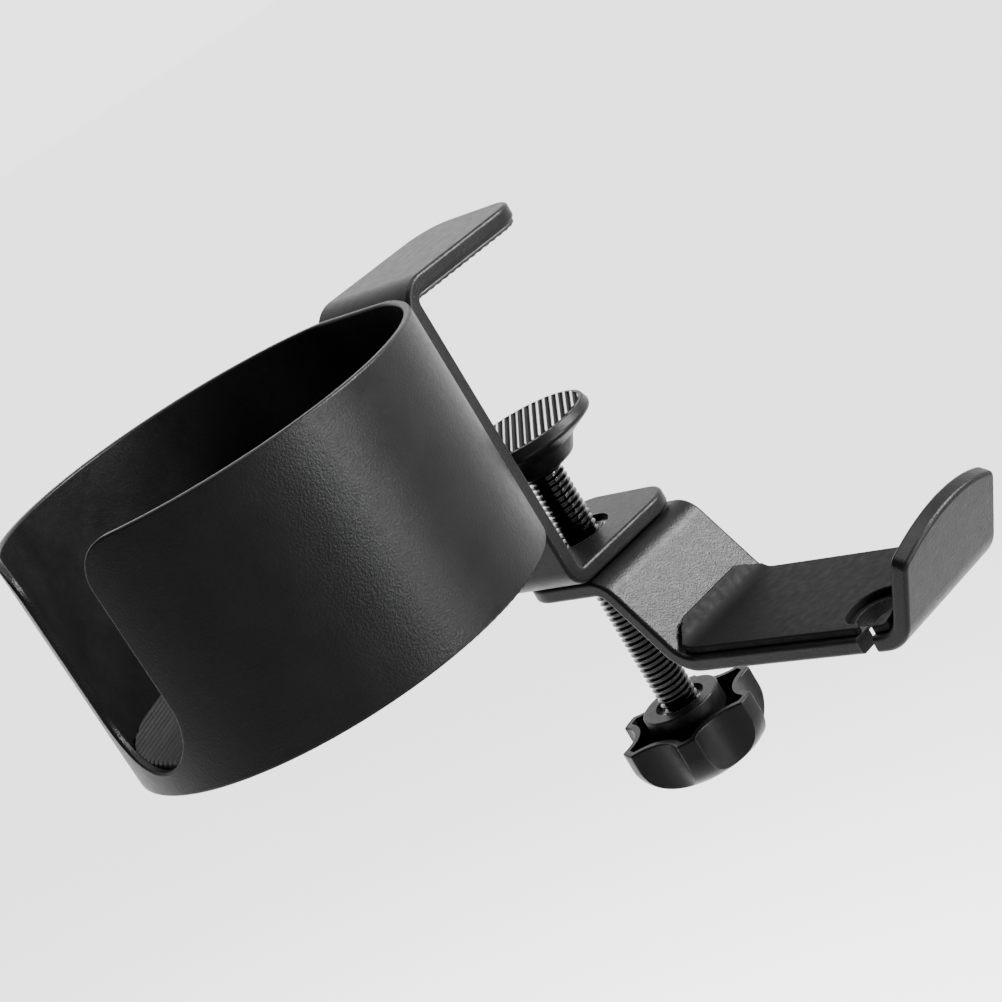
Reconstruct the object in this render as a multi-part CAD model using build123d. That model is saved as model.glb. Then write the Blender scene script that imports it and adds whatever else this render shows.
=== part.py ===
from build123d import *
import os
from math import cos, isclose, radians, sin, tan

os.makedirs("parts", exist_ok=True)

# A cup holder that clamps on a desk edge, with a headphone hanger that swivels below it.
# Millimetres. +Z is up and +X points from the cup towards the desk. The origin is on
# the clamp screw's axis, on the face of the jaw pad that rests on the desk top.

# Bracket: one steel strip bent into a C
STRIP_WIDTH = 30.0
STRIP_THICK = 3.3
SCREW_TO_PLATE = 15.2
TOP_JAW_REACH = 17.8
LOWER_JAW_REACH = 15.0
CLAMP_GAP = 59.4
TOP_BEND_OUTER = 6.2
TOP_BEND_INNER = 2.0
LOWER_BEND_OUTER = 4.3
LOWER_BEND_INNER = 1.0
JAW_CORNER_RADIUS = 7.5
EDGE_RADIUS = 0.8
LENGTH_MATCH = 0.001
FULL_ROUND_SLACK = 0.01

# Rubber sheet on the jaw, the pressure pad and the cup's floor
JAW_PAD_THICK = 0.9
JAW_PAD_INSET = 0.5
JAW_PAD_RIB_PITCH = 2.0
JAW_PAD_RIB_DEPTH = 0.15
SHEET_RIB_PITCH = 1.5
SHEET_RIB_DEPTH = 0.7
INSERT_RIB_ANGLE = 46.0
MAT_RIB_ANGLE = 30.0
GROOVE_SHARE = 0.7

# Cup: a steel ring with a slot for a mug's handle
CUP_RADIUS = 42.5
CUP_WALL = 1.5
CUP_CENTRE_X = -59.55
CUP_TOP_Z = 2.9
CUP_BOTTOM_Z = -45.0
CUP_FLAT_BLEND = 15.0
CUP_RIM_RADIUS = 0.5
SLOT_HALF_WIDTH = 11.7
SLOT_BOTTOM_Z = -40.1
SLOT_FLARE_RADIUS = 8.0
FLOOR_THICK = 1.5
FLOOR_TOP_Z = -42.0
MAT_THICK = 2.5
MAT_GAP = 0.8

# Screw: M8, with its foot and its knob turned about Z
THREAD_RADIUS = 3.925
THREAD_PITCH = 1.25
CORE_RADIUS = 3.25
THREAD_TOP_Z = -45.3
THREAD_BOTTOM_Z = -101.3
SCREW_END_Z = -111.0
THREAD_ROOT_SHARE = 0.84
THREAD_CREST_SHARE = 0.16
THREAD_OVERLAP = 0.1
RUNNING_GAP = 0.06
JOURNAL_RADIUS = 3.2
HEAD_RADIUS = 4.3
HEAD_TOP_Z = -39.0
HEAD_BOTTOM_Z = -42.0

# Bush, pressed into the lower jaw: the screw runs in it and the hanger turns on it
BUSH_RADIUS = 6.5
BUSH_RECESS = 0.9
BUSH_CHAMFER = 1.0
BUSH_NECK_RADIUS = 5.5
WASHER_RADIUS = 10.0
WASHER_THICK = 0.5
RETAINER_RADIUS = 7.2
RETAINER_THICK = 0.9
RETAINER_GROOVE_RADIUS = 4.9
RETAINER_MOUTH = 7.0
COUNTERBORE_RADIUS = 7.6
COUNTERBORE_DEPTH = 1.5

# Pressure pad
FOOT_RADIUS = 15.0
FOOT_RIM_RADIUS = 14.2
FOOT_TOP_Z = -35.3
FOOT_EDGE_Z = -37.4
FOOT_HUB_RADIUS = 9.4
FOOT_HUB_TOP_Z = -40.4
FOOT_HUB_LOW_RADIUS = 7.6
FOOT_HUB_LOW_Z = -43.7
FOOT_BOTTOM_RADIUS = 4.6
FOOT_BOTTOM_Z = -45.0
FOOT_CORNER_RADII = (0.3, 0.9, 1.0, 1.4, 0.4)
INSERT_RADIUS = 13.5
INSERT_TOP_Z = -35.0
INSERT_SEAT_Z = -37.6

# Knob: a hollow star with a boss
KNOB_RADIUS = 15.6
KNOB_LOBES = 6
KNOB_TIP_HALF_ANGLE = 7.7
KNOB_SCALLOP_INNER = 11.9
KNOB_FIRST_TIP_ANGLE = -139.5
KNOB_RIM_Z = -102.7
KNOB_BOTTOM_Z = -115.0
KNOB_DOME_RADIUS = 7.5
KNOB_DOME_RISE = 1.2
KNOB_LOBE_EDGE = 0.5
KNOB_WALL = 1.4
KNOB_RIM_RADIUS = 0.35
KNOB_POCKET_Z = -108.5
KNOB_BOSS_RADIUS = 8.4
KNOB_BOSS_Z = -100.0
KNOB_INSERT_RADIUS = 5.4
KNOB_INSERT_TOP_Z = -101.5

# Headphone hanger: a second bent strip, in the YZ plane
HANGER_WIDTH = 29.5
FLANGE_END_Y = 9.7
FLANGE_BEND_Y = -16.7
SLOPE_ANGLE = 62.5
TRAY_TOP_Z = -82.0
TRAY_END_Y = -80.3
LIP_LEAN = 30.0
LIP_LENGTH = 20.6
LIP_END_ARC = 29.0
HANGER_TOP_RADII = (6.0, 5.5, 5.7)
HANGER_UNDER_RADII = (2.7, 8.8, 9.0)
FLANGE_CORNER_RADIUS = 9.5
LIP_END_EASE = 2.0
CABLE_HOLE_X = -6.3
CABLE_HOLE_Y = -71.0
CABLE_HOLE_RADIUS = 4.4
PAD_HOLE_RADIUS = 5.75
CABLE_SLOT_WIDTH = 3.7
CABLE_SLOT_Y = -73.4
HANGER_PAD_THICK = 1.6
HANGER_PAD_INSET = 1.2
HANGER_PAD_RISE = 5.4
HANGER_PAD_END_ARC = 3.2

PLATE_FRONT_X = -SCREW_TO_PLATE
PLATE_BACK_X = PLATE_FRONT_X - STRIP_THICK
JAW_TOP_Z = -CLAMP_GAP
JAW_BOTTOM_Z = JAW_TOP_Z - STRIP_THICK
FLANGE_TOP_Z = JAW_BOTTOM_Z - WASHER_THICK
FLANGE_BOTTOM_Z = FLANGE_TOP_Z - STRIP_THICK


def left_of(start, end):
    """Unit vector square to a run, on its left."""
    run = (end - start).normalized()
    return Vector(-run.Y, run.X)


def bent_strip(plane, path, path_radii, far_radii, thickness, width):
    """A strip that follows a path of straight runs, thickened to the path's left."""
    points = [Vector(*point) for point in path]
    sides = [left_of(a, b) for a, b in zip(points, points[1:])]
    far = [points[0] + sides[0] * thickness]
    for corner, before, after in zip(points[1:], sides, sides[1:]):
        far.append(corner + (before + after) * (thickness / (1 + before.dot(after))))
    far.append(points[-1] + sides[-1] * thickness)
    corners = points + far[::-1]
    radii = [0, *path_radii, 0, 0, *far_radii[::-1], 0]
    outline = make_face(FilletPolyline(*corners, radius=radii, close=True))
    return extrude(plane * outline, amount=width / 2, both=True)


def end_edges(strip, thickness):
    """The short straight edges through a strip's thickness."""
    return ShapeList([e for e in strip.edges() if isclose(e.length, thickness, abs_tol=LENGTH_MATCH)])


def ease_long_edges(strip, across, thickness, radius):
    """Round the edges of the strip's two side faces."""
    sides = strip.faces().filter_by(across).sort_by(across)
    edges = [e for side in (sides[0], sides[-1]) for e in side.edges()]
    return fillet([e for e in edges if not isclose(e.length, thickness, abs_tol=LENGTH_MATCH)], radius)


def cylinder_between(radius, low, high):
    """A cylinder on the Z axis between two heights."""
    return Pos(0, 0, (low + high) / 2) * Cylinder(radius, high - low)


def turned(corners, radii):
    """A solid of revolution about Z from (radius, height) corners."""
    outline = make_face(FilletPolyline(*corners, radius=radii, close=True))
    return revolve(Plane.XZ * outline, Axis.Z)


def cut_ribs(sheet, pitch, depth, reach, angle=0.0, into=1):
    """Leave parallel ribs on a sheet whose face is at height 0, by cutting grooves in it.

    into is +1 when the sheet lies above its face and -1 when it lies below it.
    """
    radius = pitch * GROOVE_SHARE / 2
    count = int(reach / pitch) + 1
    floor_z = into * (depth - radius)
    cutters = []
    for index in range(-count, count):
        place = Rot(0, 0, angle) * Pos(0, (index + 0.5) * pitch, 0)
        cutters.append(place * Pos(0, 0, floor_z) * Rot(0, 90, 0) * Cylinder(radius, 3 * reach))
        mouth = Box(3 * reach, 2 * radius, 2 * depth)
        cutters.append(place * Pos(0, 0, floor_z - into * depth) * mouth)
    return sheet - cutters


def clamp_bracket():
    """Top jaw, back plate and lower jaw in one bent strip, with the bush's hole."""
    path = [
        (TOP_JAW_REACH, JAW_PAD_THICK + STRIP_THICK),
        (PLATE_BACK_X, JAW_PAD_THICK + STRIP_THICK),
        (PLATE_BACK_X, JAW_BOTTOM_Z),
        (LOWER_JAW_REACH, JAW_BOTTOM_Z),
    ]
    outer = (TOP_BEND_OUTER, LOWER_BEND_OUTER)
    inner = (TOP_BEND_INNER, LOWER_BEND_INNER)
    strip = bent_strip(Plane.XZ, path, outer, inner, STRIP_THICK, STRIP_WIDTH)
    strip = fillet(end_edges(strip, STRIP_THICK), JAW_CORNER_RADIUS)
    strip = ease_long_edges(strip, Axis.Y, STRIP_THICK, EDGE_RADIUS)
    return strip - cylinder_between(BUSH_RADIUS, JAW_BOTTOM_Z, JAW_TOP_Z)


def top_jaw_pad(bracket):
    """Rubber sheet under the top jaw, cut to the jaw's shape and ribbed across the strip."""
    left = PLATE_FRONT_X + JAW_PAD_INSET
    right = TOP_JAW_REACH - JAW_PAD_INSET
    width = STRIP_WIDTH - 2 * JAW_PAD_INSET
    centre = Pos((left + right) / 2, 0, JAW_PAD_THICK / 2)
    sheet = centre * Box(right - left, width, JAW_PAD_THICK)
    tip_edges = sheet.edges().filter_by(Axis.Z).sort_by(Axis.X)[-2:]
    sheet = fillet(tip_edges, JAW_CORNER_RADIUS - JAW_PAD_INSET)
    sheet = cut_ribs(sheet, JAW_PAD_RIB_PITCH, JAW_PAD_RIB_DEPTH, STRIP_WIDTH, angle=90)
    return sheet - bracket


def cup_outline(inset):
    """The cup's outline moved inwards: a circle pressed flat where it meets the bracket."""
    circle = Pos(CUP_CENTRE_X, 0) * Circle(CUP_RADIUS - inset)
    beyond = Pos(PLATE_BACK_X - inset + CUP_RADIUS, 0) * Rectangle(2 * CUP_RADIUS, 2 * CUP_RADIUS)
    flattened = circle - beyond
    return fillet(flattened.vertices(), CUP_FLAT_BLEND - inset)


def handle_slot():
    """Cutter for the mug-handle slot: flared at the rim, with a full-round bottom."""
    side_y = 2 * SLOT_HALF_WIDTH + SLOT_FLARE_RADIUS
    above_z = CUP_TOP_Z + CUP_WALL
    half = [
        (SLOT_HALF_WIDTH, SLOT_BOTTOM_Z),
        (SLOT_HALF_WIDTH, CUP_TOP_Z),
        (side_y, CUP_TOP_Z),
        (side_y, above_z),
    ]
    mirrored = [(-y, z) for y, z in reversed(half)]
    end_radius = SLOT_HALF_WIDTH - FULL_ROUND_SLACK
    radii = [end_radius, SLOT_FLARE_RADIUS, 0, 0]
    outline = make_face(FilletPolyline(*half, *mirrored, radius=radii + radii[::-1], close=True))
    return Pos(CUP_CENTRE_X, 0, 0) * extrude(Plane.YZ * outline, amount=-2 * CUP_RADIUS)


def cup_ring():
    """The thin steel ring, with a flared slot and rounded rims."""
    height = CUP_TOP_Z - CUP_BOTTOM_Z
    wall = extrude(cup_outline(0) - cup_outline(CUP_WALL), amount=height)
    ring = Pos(0, 0, CUP_BOTTOM_Z) * wall - handle_slot()
    top = ring.faces().filter_by(Axis.Z).sort_by(Axis.Z)[-1]
    bottom = ring.faces().filter_by(Axis.Z).sort_by(Axis.Z)[0]
    rims = [e for e in top.edges() + bottom.edges() if e.length > 2 * CUP_WALL]
    return fillet(rims, CUP_RIM_RADIUS)


def cup_floor():
    """The disc that closes the ring a little above its lower edge."""
    disc = extrude(cup_outline(CUP_WALL), amount=FLOOR_THICK)
    return Pos(0, 0, FLOOR_TOP_Z - FLOOR_THICK) * disc


def cup_mat():
    """Loose ribbed rubber mat on the floor."""
    disc = Pos(0, 0, -MAT_THICK) * extrude(cup_outline(CUP_WALL + MAT_GAP), amount=MAT_THICK)
    disc = Pos(-CUP_CENTRE_X, 0, 0) * disc
    disc = cut_ribs(disc, SHEET_RIB_PITCH, SHEET_RIB_DEPTH, CUP_RADIUS, MAT_RIB_ANGLE, into=-1)
    return Pos(CUP_CENTRE_X, 0, FLOOR_TOP_Z + MAT_THICK) * disc


def threaded_bush():
    """Bush in the lower jaw, with a neck below it and a groove for the retainer."""
    rim_z = JAW_TOP_Z - BUSH_RECESS
    bore = THREAD_RADIUS + RUNNING_GAP
    end_z = FLANGE_BOTTOM_Z + RUNNING_GAP
    groove_top_z = FLANGE_BOTTOM_Z + COUNTERBORE_DEPTH - RUNNING_GAP
    groove_bottom_z = groove_top_z - RETAINER_THICK
    corners = [
        (bore, rim_z - BUSH_CHAMFER),
        (bore + BUSH_CHAMFER, rim_z),
        (BUSH_RADIUS, rim_z),
        (BUSH_RADIUS, JAW_BOTTOM_Z),
        (BUSH_NECK_RADIUS, JAW_BOTTOM_Z),
        (BUSH_NECK_RADIUS, groove_top_z),
        (RETAINER_GROOVE_RADIUS, groove_top_z),
        (RETAINER_GROOVE_RADIUS, groove_bottom_z),
        (BUSH_NECK_RADIUS, groove_bottom_z),
        (BUSH_NECK_RADIUS, end_z),
        (bore, end_z),
    ]
    return turned(corners, 0)


def swivel_washer():
    """Flat washer between the lower jaw and the hanger's flange."""
    disc = cylinder_between(WASHER_RADIUS, FLANGE_TOP_Z, JAW_BOTTOM_Z)
    return disc - cylinder_between(BUSH_NECK_RADIUS, FLANGE_TOP_Z, JAW_BOTTOM_Z)


def bush_retaining_ring():
    """Open spring ring in the bush's groove, which keeps the hanger on."""
    top_z = FLANGE_BOTTOM_Z + COUNTERBORE_DEPTH - RUNNING_GAP
    bottom_z = top_z - RETAINER_THICK
    ring = cylinder_between(RETAINER_RADIUS, bottom_z, top_z)
    ring -= cylinder_between(RETAINER_GROOVE_RADIUS, bottom_z, top_z)
    mouth = Box(2 * RETAINER_RADIUS, RETAINER_MOUTH, RETAINER_THICK)
    return ring - Pos(RETAINER_RADIUS, 0, (top_z + bottom_z) / 2) * mouth


def tray_runs():
    """Corner points of the hanger's upper surface, from the flange's end to the lip's."""
    drop = FLANGE_TOP_Z - TRAY_TOP_Z
    foot_y = FLANGE_BEND_Y - drop / tan(radians(SLOPE_ANGLE))
    lip_y = TRAY_END_Y - LIP_LENGTH * sin(radians(LIP_LEAN))
    lip_z = TRAY_TOP_Z + LIP_LENGTH * cos(radians(LIP_LEAN))
    return [
        (FLANGE_END_Y, FLANGE_TOP_Z),
        (FLANGE_BEND_Y, FLANGE_TOP_Z),
        (foot_y, TRAY_TOP_Z),
        (TRAY_END_Y, TRAY_TOP_Z),
        (lip_y, lip_z),
    ]


def lip_end_cutter():
    """Cutter that leaves the lip's end as one arc across the strip."""
    corner, end = [Vector(0, *point) for point in tray_runs()[3:]]
    rise = (end - corner).normalized()
    lip = Plane(origin=end, x_dir=(1, 0, 0), z_dir=Vector(1, 0, 0).cross(rise))
    kept = Pos(0, -LIP_END_ARC) * Circle(LIP_END_ARC)
    corners = Rectangle(2 * HANGER_WIDTH, LIP_END_ARC) - kept
    return extrude(lip * corners, amount=2 * STRIP_THICK, both=True)


def cable_opening(hole_radius):
    """Cutter for a cable hole of the given radius, with its slot to the tray's side."""
    reach = HANGER_WIDTH / 2 + CABLE_HOLE_X + STRIP_THICK
    hole = Pos(CABLE_HOLE_X, CABLE_HOLE_Y) * Circle(hole_radius)
    slot = Pos(CABLE_HOLE_X - reach / 2, CABLE_SLOT_Y) * Rectangle(reach, CABLE_SLOT_WIDTH)
    depth = 2 * (STRIP_THICK + HANGER_PAD_THICK)
    return Pos(0, 0, TRAY_TOP_Z) * extrude(hole + slot, amount=depth / 2, both=True)


def headphone_hanger():
    """Flange, slope, tray and lip in one bent strip that turns on the bush."""
    radii = (HANGER_TOP_RADII, HANGER_UNDER_RADII)
    strip = bent_strip(Plane.YZ, tray_runs(), *radii, STRIP_THICK, HANGER_WIDTH)
    strip = fillet(end_edges(strip, STRIP_THICK).sort_by(Axis.Y)[2:], FLANGE_CORNER_RADIUS)
    strip -= lip_end_cutter()
    strip = fillet(end_edges(strip, STRIP_THICK).sort_by(Axis.Y)[:2], LIP_END_EASE)
    strip = ease_long_edges(strip, Axis.X, STRIP_THICK, EDGE_RADIUS)
    strip -= cylinder_between(BUSH_NECK_RADIUS + RUNNING_GAP, FLANGE_BOTTOM_Z, FLANGE_TOP_Z)
    counterbore_top_z = FLANGE_BOTTOM_Z + COUNTERBORE_DEPTH
    strip -= cylinder_between(COUNTERBORE_RADIUS, FLANGE_BOTTOM_Z, counterbore_top_z)
    return strip - cable_opening(CABLE_HOLE_RADIUS)


def pad_plan(half_width, low_y, high_y):
    """The hanger pad seen from above: straight sides and bulging ends."""
    sides_low = low_y + HANGER_PAD_END_ARC
    sides_high = high_y - HANGER_PAD_END_ARC
    return make_face(
        [
            Line((-half_width, sides_low), (-half_width, sides_high)),
            ThreePointArc((-half_width, sides_high), (0, high_y), (half_width, sides_high)),
            Line((half_width, sides_high), (half_width, sides_low)),
            ThreePointArc((half_width, sides_low), (0, low_y), (-half_width, sides_low)),
        ]
    )


def hanger_pad():
    """Soft sheet on the tray that runs a little way up the slope and the lip."""
    flange_bend, tray_foot, tray_corner, lip_end = [Vector(*point) for point in tray_runs()[1:]]
    lip_start = tray_corner + (lip_end - tray_corner).normalized() * HANGER_PAD_RISE
    slope_end = tray_foot + (flange_bend - tray_foot).normalized() * HANGER_PAD_RISE
    path = [(point.X, point.Y) for point in (lip_start, tray_corner, tray_foot, slope_end)]
    path_radii = HANGER_TOP_RADII[:0:-1]
    far_radii = [radius - HANGER_PAD_THICK for radius in path_radii]
    half_width = HANGER_WIDTH / 2 - HANGER_PAD_INSET
    sheet = bent_strip(Plane.YZ, path, path_radii, far_radii, HANGER_PAD_THICK, 2 * half_width)
    plan = pad_plan(half_width, lip_start.X, slope_end.X)
    column = Pos(0, 0, TRAY_TOP_Z - STRIP_THICK) * extrude(plan, amount=-2 * TRAY_TOP_Z)
    return (sheet & column) - cable_opening(PAD_HOLE_RADIUS)


def screw_thread():
    """The helical ridge, from just inside the core to its flat crest."""
    length = THREAD_TOP_Z - THREAD_BOTTOM_Z
    helix = Pos(0, 0, THREAD_BOTTOM_Z) * Helix(THREAD_PITCH, length, CORE_RADIUS)
    depth = THREAD_RADIUS - CORE_RADIUS
    root = THREAD_PITCH * THREAD_ROOT_SHARE / 2
    crest = THREAD_PITCH * THREAD_CREST_SHARE / 2
    corners = [(-THREAD_OVERLAP, -root), (-THREAD_OVERLAP, root), (depth, crest), (depth, -crest)]
    ridge = make_face(Polyline(*corners, close=True))
    start = Plane(origin=helix @ 0, x_dir=(1, 0, 0), z_dir=helix % 0)
    return sweep(start * ridge, path=helix, is_frenet=True)


def clamp_screw():
    """M8 screw: threaded length, plain end in the knob, and a headed journal for the foot."""
    core = cylinder_between(CORE_RADIUS, THREAD_BOTTOM_Z, THREAD_TOP_Z)
    shank = cylinder_between(THREAD_RADIUS, SCREW_END_Z, THREAD_BOTTOM_Z)
    journal = cylinder_between(JOURNAL_RADIUS, THREAD_TOP_Z, HEAD_BOTTOM_Z)
    head = cylinder_between(HEAD_RADIUS, HEAD_BOTTOM_Z, HEAD_TOP_Z)
    threaded = core + screw_thread()
    threaded &= cylinder_between(2 * THREAD_RADIUS, THREAD_BOTTOM_Z, THREAD_TOP_Z)
    return threaded + shank + journal + head


def pressure_pad():
    """Swivelling foot: a rounded flange on a hub that snaps over the screw's head."""
    bore = JOURNAL_RADIUS + RUNNING_GAP
    pocket = HEAD_RADIUS + RUNNING_GAP
    shoulder_z = HEAD_BOTTOM_Z - RUNNING_GAP
    corners = [
        (INSERT_RADIUS, FOOT_TOP_Z),
        (FOOT_RIM_RADIUS, FOOT_TOP_Z),
        (FOOT_RADIUS, FOOT_EDGE_Z),
        (FOOT_HUB_RADIUS, FOOT_HUB_TOP_Z),
        (FOOT_HUB_LOW_RADIUS, FOOT_HUB_LOW_Z),
        (FOOT_BOTTOM_RADIUS, FOOT_BOTTOM_Z),
        (bore, FOOT_BOTTOM_Z),
        (bore, shoulder_z),
        (pocket, shoulder_z),
        (pocket, INSERT_SEAT_Z),
        (INSERT_RADIUS, INSERT_SEAT_Z),
    ]
    sharp = len(corners) - len(FOOT_CORNER_RADII) - 1
    return turned(corners, [0, *FOOT_CORNER_RADII] + [0] * sharp)


def pressure_pad_insert():
    """Ribbed rubber disc in the foot's top."""
    disc = cylinder_between(INSERT_RADIUS, INSERT_SEAT_Z - INSERT_TOP_Z, 0)
    disc = cut_ribs(disc, SHEET_RIB_PITCH, SHEET_RIB_DEPTH, INSERT_RADIUS, INSERT_RIB_ANGLE, into=-1)
    return Pos(0, 0, INSERT_TOP_Z) * disc


def knob_outline(inset=0.0):
    """Six narrow lobes on a circle, with a wide scallop between each two, moved inwards."""
    half_gap = radians(180 / KNOB_LOBES - KNOB_TIP_HALF_ANGLE)
    tip_x = KNOB_RADIUS * cos(half_gap)
    tip_y = KNOB_RADIUS * sin(half_gap)
    reach = tip_x - KNOB_SCALLOP_INNER
    scallop_radius = (reach**2 + tip_y**2) / (2 * reach)
    scallop_distance = KNOB_SCALLOP_INNER + scallop_radius
    outline = Circle(KNOB_RADIUS - inset)
    for lobe in range(KNOB_LOBES):
        angle = KNOB_FIRST_TIP_ANGLE + (lobe + 0.5) * 360 / KNOB_LOBES
        outline -= Rot(0, 0, angle) * Pos(scallop_distance, 0) * Circle(scallop_radius + inset)
    return fillet(outline.vertices(), KNOB_LOBE_EDGE)


def knob():
    """Hollow star knob with a domed underside and a boss for the screw."""
    outline = knob_outline()
    depth = KNOB_RIM_Z - KNOB_BOTTOM_Z
    dome_side_z = KNOB_BOTTOM_Z + KNOB_DOME_RISE
    dome_corners = [
        (0, KNOB_RIM_Z),
        (KNOB_RADIUS, KNOB_RIM_Z),
        (KNOB_RADIUS, dome_side_z),
        (0, KNOB_BOTTOM_Z),
    ]
    dome = turned(dome_corners, [0, 0, KNOB_DOME_RADIUS, 0])
    body = dome & Pos(0, 0, KNOB_BOTTOM_Z) * extrude(outline, amount=depth)
    rim = body.faces().filter_by(Axis.Z).sort_by(Axis.Z)[-1]
    body = fillet(rim.edges(), KNOB_RIM_RADIUS)
    pocket = extrude(knob_outline(KNOB_WALL), amount=KNOB_RIM_Z - KNOB_POCKET_Z)
    boss = cylinder_between(KNOB_BOSS_RADIUS, KNOB_POCKET_Z, KNOB_BOSS_Z)
    boss = fillet(boss.edges().sort_by(Axis.Z)[-1], KNOB_RIM_RADIUS)
    body = body - Pos(0, 0, KNOB_POCKET_Z) * pocket + boss
    return body - cylinder_between(KNOB_INSERT_RADIUS, SCREW_END_Z, KNOB_BOSS_Z)


def knob_insert():
    """Metal sleeve moulded into the knob's boss, fixed on the screw's plain end."""
    sleeve = cylinder_between(KNOB_INSERT_RADIUS, SCREW_END_Z, KNOB_INSERT_TOP_Z)
    return sleeve - cylinder_between(THREAD_RADIUS, SCREW_END_Z, KNOB_INSERT_TOP_Z)


def build():
    """Every sub-part by its name."""
    bracket = clamp_bracket()
    return {
        "clamp_bracket": bracket,
        "top_jaw_pad": top_jaw_pad(bracket),
        "cup_ring": cup_ring(),
        "cup_floor": cup_floor(),
        "cup_mat": cup_mat(),
        "threaded_bush": threaded_bush(),
        "swivel_washer": swivel_washer(),
        "bush_retaining_ring": bush_retaining_ring(),
        "headphone_hanger": headphone_hanger(),
        "hanger_pad": hanger_pad(),
        "clamp_screw": clamp_screw(),
        "pressure_pad": pressure_pad(),
        "pressure_pad_insert": pressure_pad_insert(),
        "knob": knob(),
        "knob_insert": knob_insert(),
    }


for name, solid in build().items():
    export_step(solid, f"parts/{name}.step")
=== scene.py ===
from math import ceil, cos, pi, radians, sin, sqrt

import bmesh
import bpy
from mathutils import Matrix, Vector


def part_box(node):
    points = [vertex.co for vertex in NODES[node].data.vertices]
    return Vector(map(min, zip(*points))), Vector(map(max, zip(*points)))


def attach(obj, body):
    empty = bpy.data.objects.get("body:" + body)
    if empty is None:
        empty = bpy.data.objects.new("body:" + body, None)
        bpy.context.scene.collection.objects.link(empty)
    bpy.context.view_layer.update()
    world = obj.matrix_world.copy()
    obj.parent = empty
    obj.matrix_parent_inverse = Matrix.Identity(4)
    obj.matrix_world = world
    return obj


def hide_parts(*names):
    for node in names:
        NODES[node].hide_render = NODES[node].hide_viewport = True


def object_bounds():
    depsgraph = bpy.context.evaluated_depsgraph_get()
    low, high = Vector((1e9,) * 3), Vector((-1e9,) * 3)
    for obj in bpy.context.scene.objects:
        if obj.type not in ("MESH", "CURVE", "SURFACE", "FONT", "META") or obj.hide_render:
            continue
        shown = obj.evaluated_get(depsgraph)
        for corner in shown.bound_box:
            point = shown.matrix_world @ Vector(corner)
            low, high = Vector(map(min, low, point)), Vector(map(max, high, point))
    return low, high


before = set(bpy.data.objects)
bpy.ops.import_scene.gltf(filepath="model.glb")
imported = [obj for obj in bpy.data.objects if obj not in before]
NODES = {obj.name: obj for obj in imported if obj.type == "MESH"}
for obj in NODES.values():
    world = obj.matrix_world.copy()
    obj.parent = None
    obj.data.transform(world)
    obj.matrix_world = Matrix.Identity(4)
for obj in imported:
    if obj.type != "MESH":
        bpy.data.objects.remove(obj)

cad_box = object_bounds()
MM = 0.001

# Camera: a long lens, high on the cup's side, rolled so that the screw leans to the right
CAMERA_TARGET = Vector((-6.9, -18.2, -36.5)) * MM
CAMERA_AZIMUTH = radians(-37.62)
CAMERA_ELEVATION = radians(14.46)
CAMERA_ROLL = radians(-30.77)
CAMERA_DISTANCE = 460.0 * MM
CAMERA_LENS = 88.72
CAMERA_SHIFT = (-0.0572, -0.0606)

# Studio, in metres: the world glows brightly towards the backdrop's direction and dimly elsewhere
FLOOR_DROP = 160.0 * MM
FLOOR_HALF = 6.0
FLOOR_GREY = 0.85
BACKDROP = (0.61, 0.79, 0.0)
BACKDROP_FALL = (-0.1, 0.75)
BACKDROP_GLOW = 2.8
ROOM_GLOW = 0.24
OVERHEAD_POWER = 6.5
OVERHEAD_ANGLE = radians(40)
LIGHT_SPREAD = radians(36)

# Finishes: the noise under every finish, and how sharp an edge must be to look worn
GRAIN_DETAIL = 3.0
GRAIN_ROUGHNESS = 0.55
TONE_GRAIN_MM = 9.0
SHINE_GRAIN_MM = 1.6
WEAR_GRAIN_MM = 2.0
WEAR_SHARPNESS = (0.82, 0.99)
BEVEL_SAMPLES = 6

# Ribbed rubber: the ribs' pitch, depth and angle, and the rounding of a sheet's edge
SHEET_PITCH = 1.5 * MM
SHEET_DEPTH = 0.7 * MM
JAW_PITCH = 2.0 * MM
JAW_DEPTH = 0.15 * MM
SHEET_EDGE = 0.35 * MM
JAW_RIB_ANGLE = 90
MAT_RIB_ANGLE = 30
INSERT_RIB_ANGLE = 46
JAW_TIP_RADIUS = 7.0 * MM
CREST_SHARE = 0.1
# How far below a crest, as a share of the rib depth, the face still counts as crest: smoother and
# carrying the painted highlight.
CREST_DROP = 0.1

# How finely the sheets and the pad are divided
ROWS_PER_RIB = 10
ROW_INSET = 0.001
EDGE_STEPS = (0, 0.01, 0.02, 0.04)
INNER_STEPS = 14
CIRCLE_POINTS = 180
TIP_STEPS = 12
PAD_VOXEL = 0.2 * MM
PAD_SMOOTHING = 0.5
PAD_SMOOTH_PASSES = 9


def add_camera():
    """The camera, placed by its target, angles and roll."""
    back = Vector((
        sin(CAMERA_AZIMUTH) * cos(CAMERA_ELEVATION),
        -cos(CAMERA_AZIMUTH) * cos(CAMERA_ELEVATION),
        sin(CAMERA_ELEVATION),
    ))
    level = Vector((cos(CAMERA_AZIMUTH), sin(CAMERA_AZIMUTH), 0))
    upright = back.cross(level)
    right = level * cos(CAMERA_ROLL) + upright * sin(CAMERA_ROLL)
    up = upright * cos(CAMERA_ROLL) - level * sin(CAMERA_ROLL)
    data = bpy.data.cameras.new("camera")
    data.lens = CAMERA_LENS
    data.shift_x, data.shift_y = CAMERA_SHIFT
    data.clip_start = 0.01
    data.clip_end = 20
    camera = bpy.data.objects.new("camera", data)
    camera.matrix_world = Matrix.Translation(CAMERA_TARGET + back * CAMERA_DISTANCE) @ Matrix(
        (right, up, back)
    ).transposed().to_4x4()
    bpy.context.scene.collection.objects.link(camera)
    bpy.context.scene.camera = camera


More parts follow.
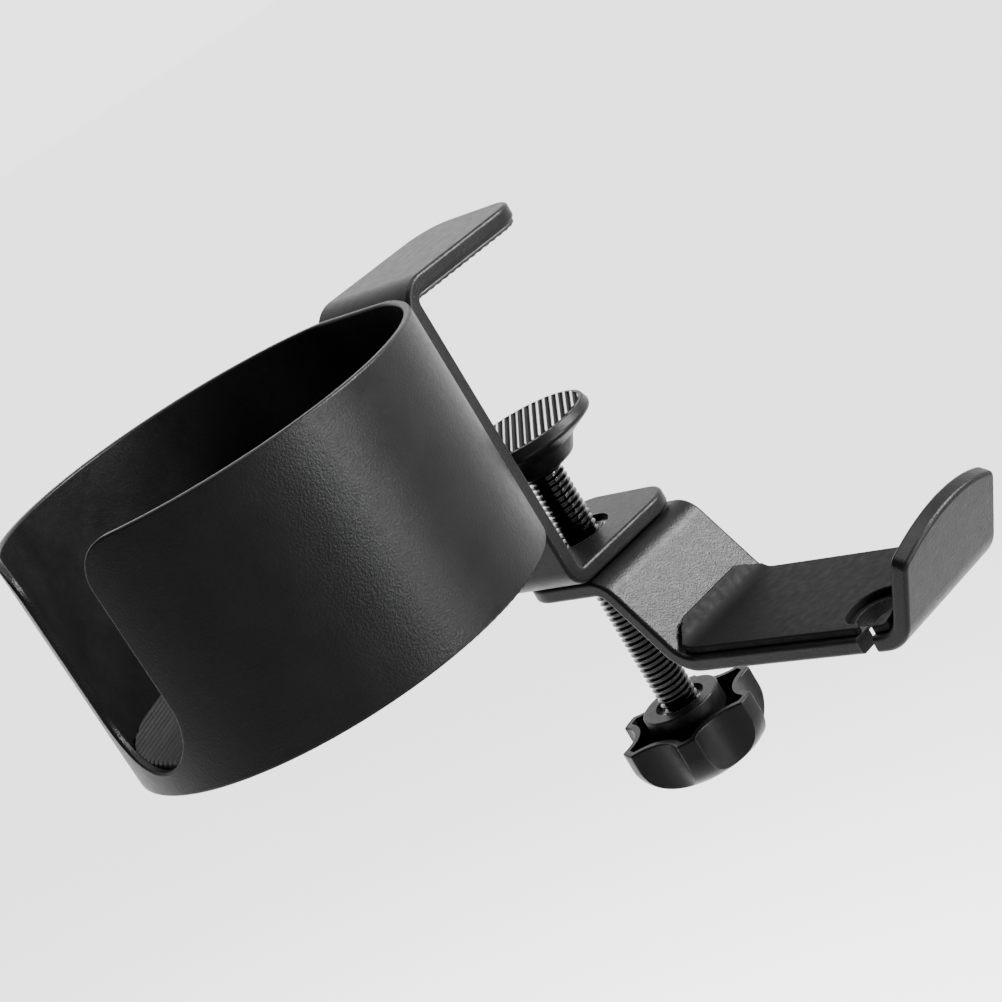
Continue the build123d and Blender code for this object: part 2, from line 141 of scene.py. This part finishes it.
def add_area_light(name, azimuth, elevation, distance, size, power):
    """A soft rectangular light at an azimuth and elevation in degrees, facing the object."""
    around, above = radians(azimuth), radians(elevation)
    toward = Vector((cos(around) * cos(above), sin(around) * cos(above), sin(above)))
    data = bpy.data.lights.new(name, "AREA")
    data.shape = "RECTANGLE"
    data.size, data.size_y = size
    data.energy = power
    data.spread = LIGHT_SPREAD
    light = bpy.data.objects.new(name, data)
    light.location = CAMERA_TARGET + toward * distance
    light.rotation_euler = (-toward).to_track_quat("-Z", "Y").to_euler()
    bpy.context.scene.collection.objects.link(light)


def grey(value):
    """A neutral colour."""
    return value, value, value


def new_material(name):
    """A node material and its Principled shader."""
    material = bpy.data.materials.new(name)
    material.use_nodes = True
    return material, material.node_tree.nodes["Principled BSDF"]


def add_stage():
    """A plain pale floor, the world around it and the studio lights."""
    mesh = bpy.data.meshes.new("floor")
    height = cad_box[0][2] - FLOOR_DROP
    corners = [
        (x * FLOOR_HALF, y * FLOOR_HALF, height) for x, y in ((-1, -1), (1, -1), (1, 1), (-1, 1))
    ]
    mesh.from_pydata(corners, [], [(0, 1, 2, 3)])
    floor = bpy.data.objects.new("floor", mesh)
    bpy.context.scene.collection.objects.link(floor)
    material, shader = new_material("floor_paint")
    shader.inputs["Base Color"].default_value = (*grey(FLOOR_GREY), 1)
    shader.inputs["Roughness"].default_value = 0.8
    shader.inputs["Specular IOR Level"].default_value = 0.1
    mesh.materials.append(material)
    world = bpy.data.worlds.new("studio")
    world.use_nodes = True
    shade_world(world)
    bpy.context.scene.world = world
    add_area_light("strip", azimuth=-76, elevation=-6, distance=1.1, size=(0.2, 0.8), power=3.2)
    add_area_light("side_box", azimuth=-46, elevation=32, distance=1.1, size=(0.4, 0.4), power=6.6)
    overhead = bpy.data.lights.new("overhead", "SUN")
    overhead.energy = OVERHEAD_POWER
    overhead.angle = OVERHEAD_ANGLE
    bpy.context.scene.collection.objects.link(bpy.data.objects.new("overhead", overhead))


def shade_world(world):
    """A bright backdrop on one side of the studio that falls off to a dim room on the other."""
    nodes, links = world.node_tree.nodes, world.node_tree.links
    background = nodes["Background"]
    background.inputs["Color"].default_value = (1, 1, 1, 1)
    place = nodes.new("ShaderNodeTexCoord")
    toward = nodes.new("ShaderNodeVectorMath")
    toward.operation = "DOT_PRODUCT"
    toward.inputs[1].default_value = BACKDROP
    links.new(place.outputs["Generated"], toward.inputs[0])
    fall = nodes.new("ShaderNodeMapRange")
    fall.inputs["From Min"].default_value, fall.inputs["From Max"].default_value = BACKDROP_FALL
    fall.inputs["To Min"].default_value = ROOM_GLOW
    fall.inputs["To Max"].default_value = BACKDROP_GLOW
    links.new(toward.outputs["Value"], fall.inputs["Value"])
    links.new(fall.outputs["Result"], background.inputs["Strength"])


def grain(material, scale_mm):
    """Noise in the object's own coordinates, with a feature size in millimetres."""
    nodes, links = material.node_tree.nodes, material.node_tree.links
    place = nodes.new("ShaderNodeTexCoord")
    noise = nodes.new("ShaderNodeTexNoise")
    noise.inputs["Scale"].default_value = 1 / (scale_mm * MM)
    noise.inputs["Detail"].default_value = GRAIN_DETAIL
    noise.inputs["Roughness"].default_value = GRAIN_ROUGHNESS
    links.new(place.outputs["Object"], noise.inputs["Vector"])
    return noise.outputs["Fac"]


def remap(material, source, low, high, from_low=0.3, from_high=0.7):
    """Map part of a value's range to another range."""
    node = material.node_tree.nodes.new("ShaderNodeMapRange")
    node.inputs["From Min"].default_value = from_low
    node.inputs["From Max"].default_value = from_high
    node.inputs["To Min"].default_value = low
    node.inputs["To Max"].default_value = high
    material.node_tree.links.new(source, node.inputs["Value"])
    return node.outputs["Result"]


def mix_colours(material, factor, first, second):
    """A colour between two, by a factor."""
    node = material.node_tree.nodes.new("ShaderNodeMix")
    node.data_type = "RGBA"
    node.inputs["A"].default_value = (*first, 1)
    node.inputs["B"].default_value = (*second, 1)
    material.node_tree.links.new(factor, node.inputs["Factor"])
    return node.outputs["Result"]


def edge_mask(material, radius_mm):
    """A value that is 1 along sharp edges and 0 on open faces, broken up by noise."""
    nodes, links = material.node_tree.nodes, material.node_tree.links
    bevel = nodes.new("ShaderNodeBevel")
    bevel.samples = BEVEL_SAMPLES
    bevel.inputs["Radius"].default_value = radius_mm * MM
    geometry = nodes.new("ShaderNodeNewGeometry")
    dot = nodes.new("ShaderNodeVectorMath")
    dot.operation = "DOT_PRODUCT"
    links.new(bevel.outputs["Normal"], dot.inputs[0])
    links.new(geometry.outputs["Normal"], dot.inputs[1])
    worn = nodes.new("ShaderNodeMath")
    worn.operation = "MULTIPLY"
    links.new(remap(material, dot.outputs["Value"], 1, 0, *WEAR_SHARPNESS), worn.inputs[0])
    links.new(remap(material, grain(material, WEAR_GRAIN_MM), 0.3, 1), worn.inputs[1])
    return worn.outputs["Value"]


def add_bump(material, shader, height, depth_mm):
    """Raise the surface by a height value, up to a depth in millimetres."""
    bump = material.node_tree.nodes.new("ShaderNodeBump")
    bump.inputs["Distance"].default_value = depth_mm * MM
    material.node_tree.links.new(height, bump.inputs["Height"])
    material.node_tree.links.new(bump.outputs["Normal"], shader.inputs["Normal"])


def surface(name, dark, light, worn, metallic, specular, rough, grain_mm, depth_mm, wear_mm):
    """A finish with a fine grain, slow colour and roughness variation, and worn edges."""
    material, shader = new_material(name)
    links = material.node_tree.links
    shader.inputs["Metallic"].default_value = metallic
    shader.inputs["Specular IOR Level"].default_value = specular
    patches = remap(material, grain(material, TONE_GRAIN_MM), 0, 1)
    body = mix_colours(material, patches, dark, light)
    edges = mix_colours(material, edge_mask(material, wear_mm), dark, worn)
    links.new(body, edges.node.inputs["A"])
    links.new(edges, shader.inputs["Base Color"])
    links.new(remap(material, grain(material, SHINE_GRAIN_MM), *rough), shader.inputs["Roughness"])
    add_bump(material, shader, grain(material, grain_mm), depth_mm)
    return material


def paint_crest_highlights(material, colour):
    """Painted highlight along the ribs' crests: a pale colour there stands in for glints of light, with
    smoother rubber on the crests and dull rubber in the valleys.
    """
    nodes, links = material.node_tree.nodes, material.node_tree.links
    shader = nodes["Principled BSDF"]
    crest = nodes.new("ShaderNodeAttribute")
    crest.attribute_name = "crest"
    # Painted highlight: the crests take a pale colour that stands in for glints of light along them.
    painted_crest_glint = mix_colours(material, crest.outputs["Fac"], colour, colour)
    links.new(shader.inputs["Base Color"].links[0].from_socket, painted_crest_glint.node.inputs["A"])
    links.new(painted_crest_glint, shader.inputs["Base Color"])
    links.new(remap(material, crest.outputs["Fac"], 0.85, 0.35, 0, 1), shader.inputs["Roughness"])


def outline_of(node, tip_radius):
    """A node's outline from above: a circle, or a strip with two rounded corners at +X."""
    low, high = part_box(node)
    if tip_radius is None:
        radius = (high[1] - low[1]) / 2
        centre = low[0] + radius
        turns = [2 * pi * index / CIRCLE_POINTS for index in range(CIRCLE_POINTS)]
        return [(min(centre + radius * cos(t), high[0]), radius * sin(t)) for t in turns]
    points = [(low[0], high[1]), (low[0], low[1])]
    for start, side in ((-pi / 2, low[1] + tip_radius), (0, high[1] - tip_radius)):
        for index in range(TIP_STEPS + 1):
            turn = start + index * pi / (2 * TIP_STEPS)
            points.append((high[0] - tip_radius + tip_radius * cos(turn), side + tip_radius * sin(turn)))
    return points


def chord(points, height):
    """Where a convex outline is crossed at a height."""
    crossings = []
    for (ax, ay), (bx, by) in zip(points, points[1:] + points[:1]):
        if (ay - height) * (by - height) < 0:
            crossings.append(ax + (bx - ax) * (height - ay) / (by - ay))
    return min(crossings), max(crossings)


def edge_distance(points, x, y):
    """How far a point inside a convex outline is from its nearest side."""
    nearest = 1.0
    for (ax, ay), (bx, by) in zip(points, points[1:] + points[:1]):
        length = sqrt((bx - ax) ** 2 + (by - ay) ** 2)
        if length > 0:
            nearest = min(nearest, abs((bx - ax) * (y - ay) - (by - ay) * (x - ax)) / length)
    return nearest


def rib_drop(across, pitch, depth):
    """How far below the ribs' crests the sheet's face lies: thin crests, V-shaped valleys."""
    phase = abs(across / pitch - round(across / pitch))
    return depth * max(0.0, phase - CREST_SHARE) / (0.5 - CREST_SHARE)


def ribbed_sheet(node, body, material, pitch, depth, angle, faces_up=True, tip_radius=None):
    """A ribbed rubber sheet that stands for a CAD node: its outline, ribs and a rounded edge."""
    low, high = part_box(node)
    turn = radians(angle)
    middle = ((low[0] + high[0]) / 2, 0)
    outline = [
        ((x - middle[0]) * cos(turn) + y * sin(turn), y * cos(turn) - (x - middle[0]) * sin(turn))
        for x, y in outline_of(node, tip_radius)
    ]
    bottom_row = min(y for _, y in outline)
    top_row = max(y for _, y in outline)
    rows = ceil((top_row - bottom_row) / pitch * ROWS_PER_RIB)
    face_z, back_z, sense = (high[2], low[2], 1) if faces_up else (low[2], high[2], -1)
    inner = [index / INNER_STEPS for index in range(1, INNER_STEPS)]
    steps = [*EDGE_STEPS, *inner, *(1 - step for step in reversed(EDGE_STEPS))]
    mesh = bmesh.new()
    crest = mesh.verts.layers.float.new("crest")
    grids = ([], [])
    for row in range(rows + 1):
        across = bottom_row + (top_row - bottom_row) * (ROW_INSET + (1 - 2 * ROW_INSET) * row / rows)
        start, end = chord(outline, across)
        for grid in grids:
            grid.append([])
        for step in steps:
            along = start + (end - start) * step
            inside = min(edge_distance(outline, along, across), SHEET_EDGE)
            rounding = SHEET_EDGE - sqrt(SHEET_EDGE**2 - (SHEET_EDGE - inside) ** 2)
            lowered = max(rounding, rib_drop(across, pitch, depth))
            x = middle[0] + along * cos(turn) - across * sin(turn)
            y = along * sin(turn) + across * cos(turn)
            grids[0][-1].append(mesh.verts.new((x, y, face_z - sense * lowered)))
            # The crest attribute marks the vertices on the ribs' crests, where the rubber is smoother
            # and carries a painted highlight.
            grids[0][-1][-1][crest] = 1.0 if lowered < CREST_DROP * depth else 0.0
            grids[1][-1].append(mesh.verts.new((x, y, back_z)))
    for grid in grids:
        for near, far in zip(grid, grid[1:]):
            for index in range(len(steps) - 1):
                mesh.faces.new((near[index], near[index + 1], far[index + 1], far[index]))
    front, back = grids
    rims = [[(f[end], b[end]) for f, b in zip(front, back)] for end in (0, -1)]
    rims += [list(zip(front[end], back[end])) for end in (0, -1)]
    for rim in rims:
        for (a, b), (c, d) in zip(rim, rim[1:]):
            mesh.faces.new((a, c, d, b))
    bmesh.ops.recalc_face_normals(mesh, faces=mesh.faces)
    return finish_piece(mesh, node, body, material)


def finish_piece(mesh, node, body, material):
    """Turn mesh data into a shown piece that rides on a body and stands for a CAD node."""
    data = bpy.data.meshes.new(node + "_soft")
    mesh.to_mesh(data)
    mesh.free()
    for polygon in data.polygons:
        polygon.use_smooth = True
    data.materials.append(material)
    piece = bpy.data.objects.new(node + "_soft", data)
    bpy.context.scene.collection.objects.link(piece)
    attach(piece, body)
    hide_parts(node)
    return piece


def soft_tray_pad(material):
    """The foam pad on the hanger's tray: the CAD sheet, remeshed and swollen between its edges."""
    low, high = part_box("hanger_pad")
    data = NODES["hanger_pad"].data.copy()
    piece = bpy.data.objects.new("hanger_pad_soft", data)
    bpy.context.scene.collection.objects.link(piece)
    remesh = piece.modifiers.new("remesh", "REMESH")
    remesh.mode = "VOXEL"
    remesh.voxel_size = PAD_VOXEL
    smooth = piece.modifiers.new("smooth", "SMOOTH")
    smooth.factor = PAD_SMOOTHING
    smooth.iterations = PAD_SMOOTH_PASSES
    graph = bpy.context.evaluated_depsgraph_get()
    shaped = bpy.data.meshes.new_from_object(piece.evaluated_get(graph))
    bpy.data.objects.remove(piece)
    mesh = bmesh.new()
    mesh.from_mesh(shaped)
    for vertex in mesh.verts:
        vertex.co = [min(max(value, floor), top) for value, floor, top in zip(vertex.co, low, high)]
    piece = finish_piece(mesh, "hanger_pad", "hanger", material)


def dress(material, *nodes):
    """Give CAD nodes one material."""
    for node in nodes:
        NODES[node].data.materials.clear()
        NODES[node].data.materials.append(material)


add_camera()
add_stage()

coat = surface(
    "powder_coat", (0.0016, 0.0016, 0.00165), (0.0026, 0.0026, 0.00265), worn=grey(0.03), metallic=0,
    specular=0.06, rough=(0.33, 0.41), grain_mm=0.42, depth_mm=0.075, wear_mm=0.35,
)
rubber = surface(
    "rubber", grey(0.003), grey(0.006), worn=grey(0.03), metallic=0,
    specular=0.1, rough=(0.4, 0.6), grain_mm=0.25, depth_mm=0.015, wear_mm=0.2,
)
foam = surface(
    "foam_skin", grey(0.001), grey(0.0015), worn=(0.008, 0.015, 0.015), metallic=0,
    specular=0.04, rough=(0.55, 0.7), grain_mm=0.25, depth_mm=0.01, wear_mm=0.3,
)
oxide = surface(
    "black_oxide", (0.006, 0.006, 0.0062), (0.02, 0.02, 0.0205), worn=grey(0.12), metallic=1,
    specular=0.5, rough=(0.12, 0.24), grain_mm=0.3, depth_mm=0.01, wear_mm=0.1,
)
steel = surface(
    "spring_steel", (0.32, 0.32, 0.33), (0.45, 0.45, 0.46), worn=grey(0.6), metallic=1,
    specular=0.5, rough=(0.22, 0.36), grain_mm=0.2, depth_mm=0.008, wear_mm=0.15,
)
nylon = surface(
    "black_nylon", grey(0.001), grey(0.0018), worn=grey(0.03), metallic=0,
    specular=0.07, rough=(0.3, 0.42), grain_mm=0.35, depth_mm=0.03, wear_mm=0.3,
)
# Rubber for the ribbed insert, whose crests are given a painted highlight below.
glint_crested_rubber = surface(
    "rubber_with_painted_crest_glints", grey(0.001), grey(0.002), worn=grey(0.003), metallic=0,
    specular=0.08, rough=(0.4, 0.6), grain_mm=0.25, depth_mm=0.01, wear_mm=0.2,
)
# Painted highlight: pale grey on the ribs' crests stands in for glints of light.
paint_crest_highlights(glint_crested_rubber, grey(0.22))

dress(coat, "clamp_bracket", "cup_ring", "cup_floor", "headphone_hanger")
dress(rubber, "top_jaw_pad", "cup_mat", "pressure_pad_insert", "hanger_pad")
dress(oxide, "clamp_screw", "threaded_bush")
dress(steel, "knob_insert", "bush_retaining_ring")
dress(nylon, "pressure_pad", "knob", "swivel_washer")

ribbed_sheet("top_jaw_pad", "frame", rubber, JAW_PITCH, JAW_DEPTH, JAW_RIB_ANGLE,
             faces_up=False, tip_radius=JAW_TIP_RADIUS)
ribbed_sheet("cup_mat", "frame", rubber, SHEET_PITCH, SHEET_DEPTH, MAT_RIB_ANGLE)
ribbed_sheet("pressure_pad_insert", "foot", glint_crested_rubber, SHEET_PITCH, SHEET_DEPTH, INSERT_RIB_ANGLE)
soft_tray_pad(foam)
